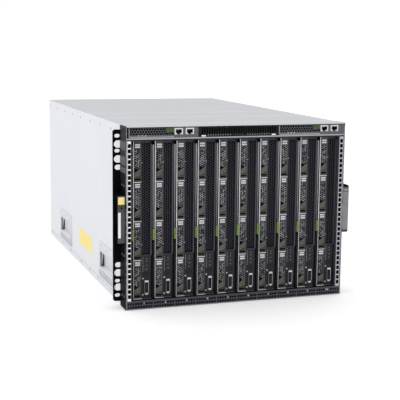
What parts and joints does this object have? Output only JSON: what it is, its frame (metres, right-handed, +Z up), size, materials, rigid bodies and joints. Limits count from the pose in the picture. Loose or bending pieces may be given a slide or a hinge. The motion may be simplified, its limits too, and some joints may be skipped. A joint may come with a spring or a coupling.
{
  "type": "blade server chassis",
  "caption": "Rack-mounted blade server chassis with upright slide-in blades, ejector levers, drive carriers, management modules, pull handles, rear fan trays and power supplies.",
  "frame": {"origin": "middle of the footprint at the bottom of the chassis", "axes": "+Z up, +Y to the rear (fans and supplies), -Y to the front (blades), +X to the right seen from the front"},
  "size_m": [0.4826, 0.84, 0.3528],
  "materials": {
    "silver_sheet": "satin silver-grey",
    "black_sheet": "satin black",
    "black_plastic": "fine grained",
    "nickel": "plated",
    "bare_steel": "zinc plated",
    "circuit_board": "solder mask",
    "blade_steel": "satin dark grey",
    "lever_grey": "satin",
    "green_plastic": "satin green",
    "drive_plastic": "satin",
    "module_grey": "satin grey",
    "supply_steel": "satin"
  },
  "bodies": {
    "chassis": {"base_panel": "silver_sheet", "top_cover": "silver_sheet", "side_panels": "silver_sheet", "side_grips": "silver_sheet", "front_frame": "black_sheet", "front_grilles": "black_sheet", "center_grille": "black_sheet", "rack_ears": "black_sheet", "pull_handles": "black_plastic", "esd_jack": "nickel", "blade_guides": "bare_steel", "midplane": "circuit_board", "rear_frame": "bare_steel", "io_slot_blanks": "bare_steel"},
    "blade_01": {"blade_01": "blade_steel"},
    "lever_01": {"lever_01": "lever_grey"},
    "latch_01": {"latch_01": "green_plastic"},
    "drive_01": {"drive_01": "drive_plastic"},
    "drive_02": {"drive_02": "drive_plastic"},
    "drive_03": {"drive_03": "drive_plastic"},
    "drive_04": {"drive_04": "drive_plastic"},
    "management_module_left": {"management_module_left": "module_grey"},
    "module_catch_left": {"module_catch_left": "green_plastic"},
    "fan_tray_left": {"fan_tray_left": "bare_steel"},
    "fan_rotor_left": {"fan_rotor_left": "black_plastic"},
    "power_supply_1": {"power_supply_1": "supply_steel"},
    "blade_10": {"blade_10": "blade_steel"},
    "lever_10": {"lever_10": "lever_grey"},
    "latch_10": {"latch_10": "green_plastic"},
    "management_module_right": {"management_module_right": "module_grey"},
    "module_catch_right": {"module_catch_right": "green_plastic"},
    "fan_tray_right": {"fan_tray_right": "bare_steel"},
    "fan_rotor_right": {"fan_rotor_right": "black_plastic"},
    "power_supply_2": {"power_supply_2": "supply_steel"},
    "power_supply_3": {"power_supply_3": "supply_steel"},
    "power_supply_4": {"power_supply_4": "supply_steel"},
    "blade_02": {"blade_02": "blade_steel"},
    "lever_02": {"lever_02": "lever_grey"},
    "latch_02": {"latch_02": "green_plastic"},
    "blade_03": {"blade_03": "blade_steel"},
    "lever_03": {"lever_03": "lever_grey"},
    "latch_03": {"latch_03": "green_plastic"},
    "blade_04": {"blade_04": "blade_steel"},
    "lever_04": {"lever_04": "lever_grey"},
    "latch_04": {"latch_04": "green_plastic"},
    "blade_05": {"blade_05": "blade_steel"},
    "lever_05": {"lever_05": "lever_grey"},
    "latch_05": {"latch_05": "green_plastic"},
    "blade_06": {"blade_06": "blade_steel"},
    "lever_06": {"lever_06": "lever_grey"},
    "latch_06": {"latch_06": "green_plastic"},
    "blade_07": {"blade_07": "blade_steel"},
    "lever_07": {"lever_07": "lever_grey"},
    "latch_07": {"latch_07": "green_plastic"},
    "blade_08": {"blade_08": "blade_steel"},
    "lever_08": {"lever_08": "lever_grey"},
    "latch_08": {"latch_08": "green_plastic"},
    "blade_09": {"blade_09": "blade_steel"},
    "lever_09": {"lever_09": "lever_grey"},
    "latch_09": {"latch_09": "green_plastic"}
  },
  "joints": [
    {"name": "blade_01_slide", "type": "slide", "parent": "chassis", "child": "blade_01", "axis": [0, -1, 0], "range_m": [0, 0.52]},
    {"name": "lever_01_turn", "type": "hinge", "parent": "blade_01", "child": "lever_01", "pos_m": [-0.2121, -0.405, 0.3155], "axis": [-1, 0, 0], "range_deg": [0, 75]},
    {"name": "latch_01_press", "type": "slide", "parent": "blade_01", "child": "latch_01", "axis": [0, 0, -1], "range_m": [0, 0.003], "stiffness_N_per_m": 200},
    {"name": "drive_01_slide", "type": "slide", "parent": "blade_01", "child": "drive_01", "axis": [0, -1, 0], "range_m": [0, 0.125]},
    {"name": "drive_02_slide", "type": "slide", "parent": "blade_01", "child": "drive_02", "axis": [0, -1, 0], "range_m": [0, 0.125]},
    {"name": "drive_03_slide", "type": "slide", "parent": "blade_01", "child": "drive_03", "axis": [0, -1, 0], "range_m": [0, 0.125]},
    {"name": "drive_04_slide", "type": "slide", "parent": "blade_01", "child": "drive_04", "axis": [0, -1, 0], "range_m": [0, 0.125]},
    {"name": "management_module_left_slide", "type": "slide", "parent": "chassis", "child": "management_module_left", "axis": [0, -1, 0], "range_m": [0, 0.26]},
    {"name": "module_catch_left_press", "type": "slide", "parent": "management_module_left", "child": "module_catch_left", "axis": [0, 0, -1], "range_m": [0, 0.0025], "stiffness_N_per_m": 200},
    {"name": "fan_tray_left_slide", "type": "slide", "parent": "chassis", "child": "fan_tray_left", "axis": [0, 1, 0], "range_m": [0, 0.16]},
    {"name": "fan_rotor_left_spin", "type": "hinge", "parent": "fan_tray_left", "child": "fan_rotor_left", "pos_m": [-0.10825, 0.353, 0.2734], "axis": [0, 1, 0], "continuous": true},
    {"name": "power_supply_1_slide", "type": "slide", "parent": "chassis", "child": "power_supply_1", "axis": [0, 1, 0], "range_m": [0, 0.27]},
    {"name": "blade_10_slide", "type": "slide", "parent": "chassis", "child": "blade_10", "axis": [0, -1, 0], "range_m": [0, 0.52]},
    {"name": "lever_10_turn", "type": "hinge", "parent": "blade_10", "child": "lever_10", "pos_m": [0.1749, -0.405, 0.3155], "axis": [-1, 0, 0], "range_deg": [0, 75]},
    {"name": "latch_10_press", "type": "slide", "parent": "blade_10", "child": "latch_10", "axis": [0, 0, -1], "range_m": [0, 0.003], "stiffness_N_per_m": 200},
    {"name": "management_module_right_slide", "type": "slide", "parent": "chassis", "child": "management_module_right", "axis": [0, -1, 0], "range_m": [0, 0.26]},
    {"name": "module_catch_right_press", "type": "slide", "parent": "management_module_right", "child": "module_catch_right", "axis": [0, 0, -1], "range_m": [0, 0.0025], "stiffness_N_per_m": 200},
    {"name": "fan_tray_right_slide", "type": "slide", "parent": "chassis", "child": "fan_tray_right", "axis": [0, 1, 0], "range_m": [0, 0.16]},
    {"name": "fan_rotor_right_spin", "type": "hinge", "parent": "fan_tray_right", "child": "fan_rotor_right", "pos_m": [0.10825, 0.353, 0.2734], "axis": [0, 1, 0], "continuous": true},
    {"name": "power_supply_2_slide", "type": "slide", "parent": "chassis", "child": "power_supply_2", "axis": [0, 1, 0], "range_m": [0, 0.27]},
    {"name": "power_supply_3_slide", "type": "slide", "parent": "chassis", "child": "power_supply_3", "axis": [0, 1, 0], "range_m": [0, 0.27]},
    {"name": "power_supply_4_slide", "type": "slide", "parent": "chassis", "child": "power_supply_4", "axis": [0, 1, 0], "range_m": [0, 0.27]},
    {"name": "blade_02_slide", "type": "slide", "parent": "chassis", "child": "blade_02", "axis": [0, -1, 0], "range_m": [0, 0.52]},
    {"name": "lever_02_turn", "type": "hinge", "parent": "blade_02", "child": "lever_02", "pos_m": [-0.1691, -0.405, 0.3155], "axis": [-1, 0, 0], "range_deg": [0, 75]},
    {"name": "latch_02_press", "type": "slide", "parent": "blade_02", "child": "latch_02", "axis": [0, 0, -1], "range_m": [0, 0.003], "stiffness_N_per_m": 200},
    {"name": "blade_03_slide", "type": "slide", "parent": "chassis", "child": "blade_03", "axis": [0, -1, 0], "range_m": [0, 0.52]},
    {"name": "lever_03_turn", "type": "hinge", "parent": "blade_03", "child": "lever_03", "pos_m": [-0.1261, -0.405, 0.3155], "axis": [-1, 0, 0], "range_deg": [0, 75]},
    {"name": "latch_03_press", "type": "slide", "parent": "blade_03", "child": "latch_03", "axis": [0, 0, -1], "range_m": [0, 0.003], "stiffness_N_per_m": 200},
    {"name": "blade_04_slide", "type": "slide", "parent": "chassis", "child": "blade_04", "axis": [0, -1, 0], "range_m": [0, 0.52]},
    {"name": "lever_04_turn", "type": "hinge", "parent": "blade_04", "child": "lever_04", "pos_m": [-0.0831, -0.405, 0.3155], "axis": [-1, 0, 0], "range_deg": [0, 75]},
    {"name": "latch_04_press", "type": "slide", "parent": "blade_04", "child": "latch_04", "axis": [0, 0, -1], "range_m": [0, 0.003], "stiffness_N_per_m": 200},
    {"name": "blade_05_slide", "type": "slide", "parent": "chassis", "child": "blade_05", "axis": [0, -1, 0], "range_m": [0, 0.52]},
    {"name": "lever_05_turn", "type": "hinge", "parent": "blade_05", "child": "lever_05", "pos_m": [-0.0401, -0.405, 0.3155], "axis": [-1, 0, 0], "range_deg": [0, 75]},
    {"name": "latch_05_press", "type": "slide", "parent": "blade_05", "child": "latch_05", "axis": [0, 0, -1], "range_m": [0, 0.003], "stiffness_N_per_m": 200},
    {"name": "blade_06_slide", "type": "slide", "parent": "chassis", "child": "blade_06", "axis": [0, -1, 0], "range_m": [0, 0.52]},
    {"name": "lever_06_turn", "type": "hinge", "parent": "blade_06", "child": "lever_06", "pos_m": [0.0029, -0.405, 0.3155], "axis": [-1, 0, 0], "range_deg": [0, 75]},
    {"name": "latch_06_press", "type": "slide", "parent": "blade_06", "child": "latch_06", "axis": [0, 0, -1], "range_m": [0, 0.003], "stiffness_N_per_m": 200},
    {"name": "blade_07_slide", "type": "slide", "parent": "chassis", "child": "blade_07", "axis": [0, -1, 0], "range_m": [0, 0.52]},
    {"name": "lever_07_turn", "type": "hinge", "parent": "blade_07", "child": "lever_07", "pos_m": [0.0459, -0.405, 0.3155], "axis": [-1, 0, 0], "range_deg": [0, 75]},
    {"name": "latch_07_press", "type": "slide", "parent": "blade_07", "child": "latch_07", "axis": [0, 0, -1], "range_m": [0, 0.003], "stiffness_N_per_m": 200},
    {"name": "blade_08_slide", "type": "slide", "parent": "chassis", "child": "blade_08", "axis": [0, -1, 0], "range_m": [0, 0.52]},
    {"name": "lever_08_turn", "type": "hinge", "parent": "blade_08", "child": "lever_08", "pos_m": [0.0889, -0.405, 0.3155], "axis": [-1, 0, 0], "range_deg": [0, 75]},
    {"name": "latch_08_press", "type": "slide", "parent": "blade_08", "child": "latch_08", "axis": [0, 0, -1], "range_m": [0, 0.003], "stiffness_N_per_m": 200},
    {"name": "blade_09_slide", "type": "slide", "parent": "chassis", "child": "blade_09", "axis": [0, -1, 0], "range_m": [0, 0.52]},
    {"name": "lever_09_turn", "type": "hinge", "parent": "blade_09", "child": "lever_09", "pos_m": [0.1319, -0.405, 0.3155], "axis": [-1, 0, 0], "range_deg": [0, 75]},
    {"name": "latch_09_press", "type": "slide", "parent": "blade_09", "child": "latch_09", "axis": [0, 0, -1], "range_m": [0, 0.003], "stiffness_N_per_m": 200}
  ]
}
